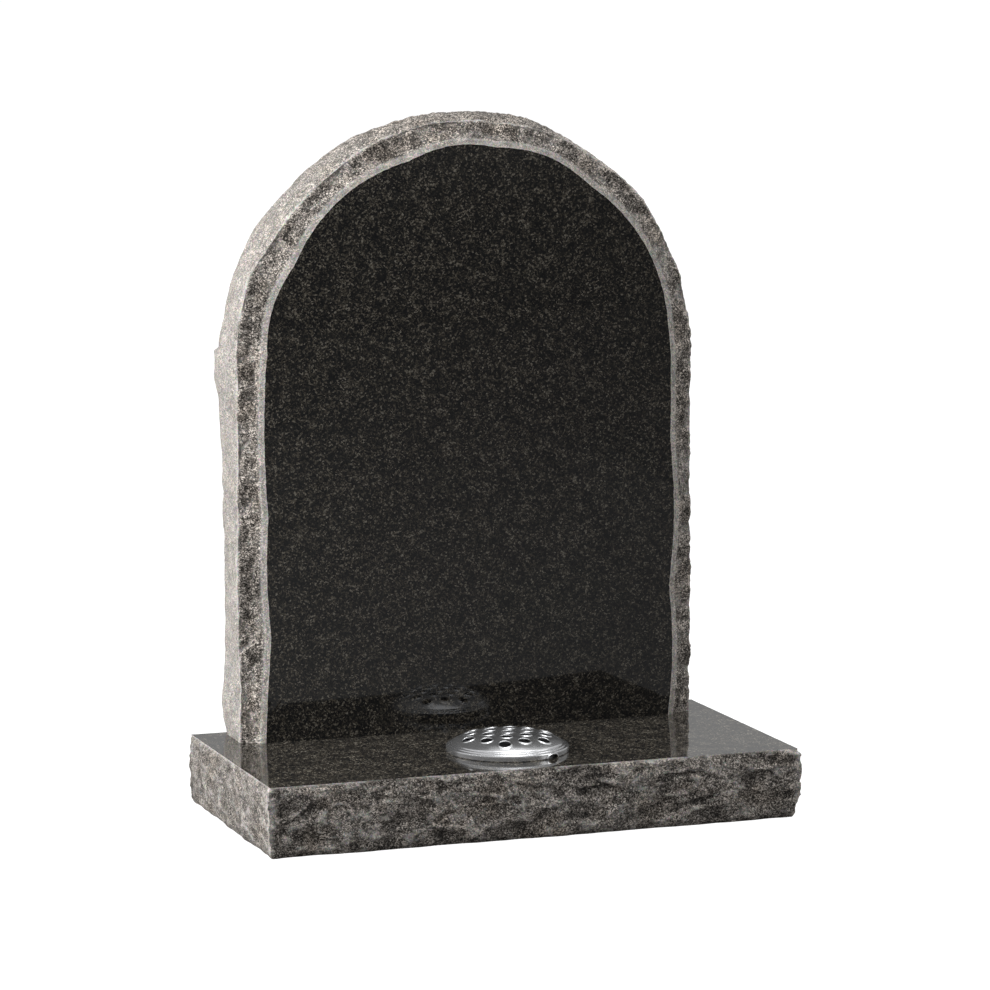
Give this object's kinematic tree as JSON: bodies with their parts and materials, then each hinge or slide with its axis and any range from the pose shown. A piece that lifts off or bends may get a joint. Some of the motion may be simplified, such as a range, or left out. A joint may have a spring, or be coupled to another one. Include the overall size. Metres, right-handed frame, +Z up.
{
  "type": "headstone",
  "caption": "Upright arch-topped granite headstone with polished face and rock-pitched edges on a pitched base with a lidded flower pot.",
  "frame": {"origin": "middle of the base's underside, half way between the object's foremost and rearmost points", "axes": "+Z up; +X to the right of someone reading the face; the polished face looks along -Y"},
  "size_m": [0.618, 0.309, 0.7732],
  "materials": {
    "headstone_granite": "polished face, rock-pitched margin and sides",
    "base_granite": "polished top, rock-pitched front and ends",
    "pot_aluminium": "spun",
    "lid_aluminium": "bright spun and polished"
  },
  "bodies": {
    "root": {"headstone": "headstone_granite", "base": "base_granite", "flower_pot": "pot_aluminium", "flower_lid": "lid_aluminium"}
  },
  "joints": []
}
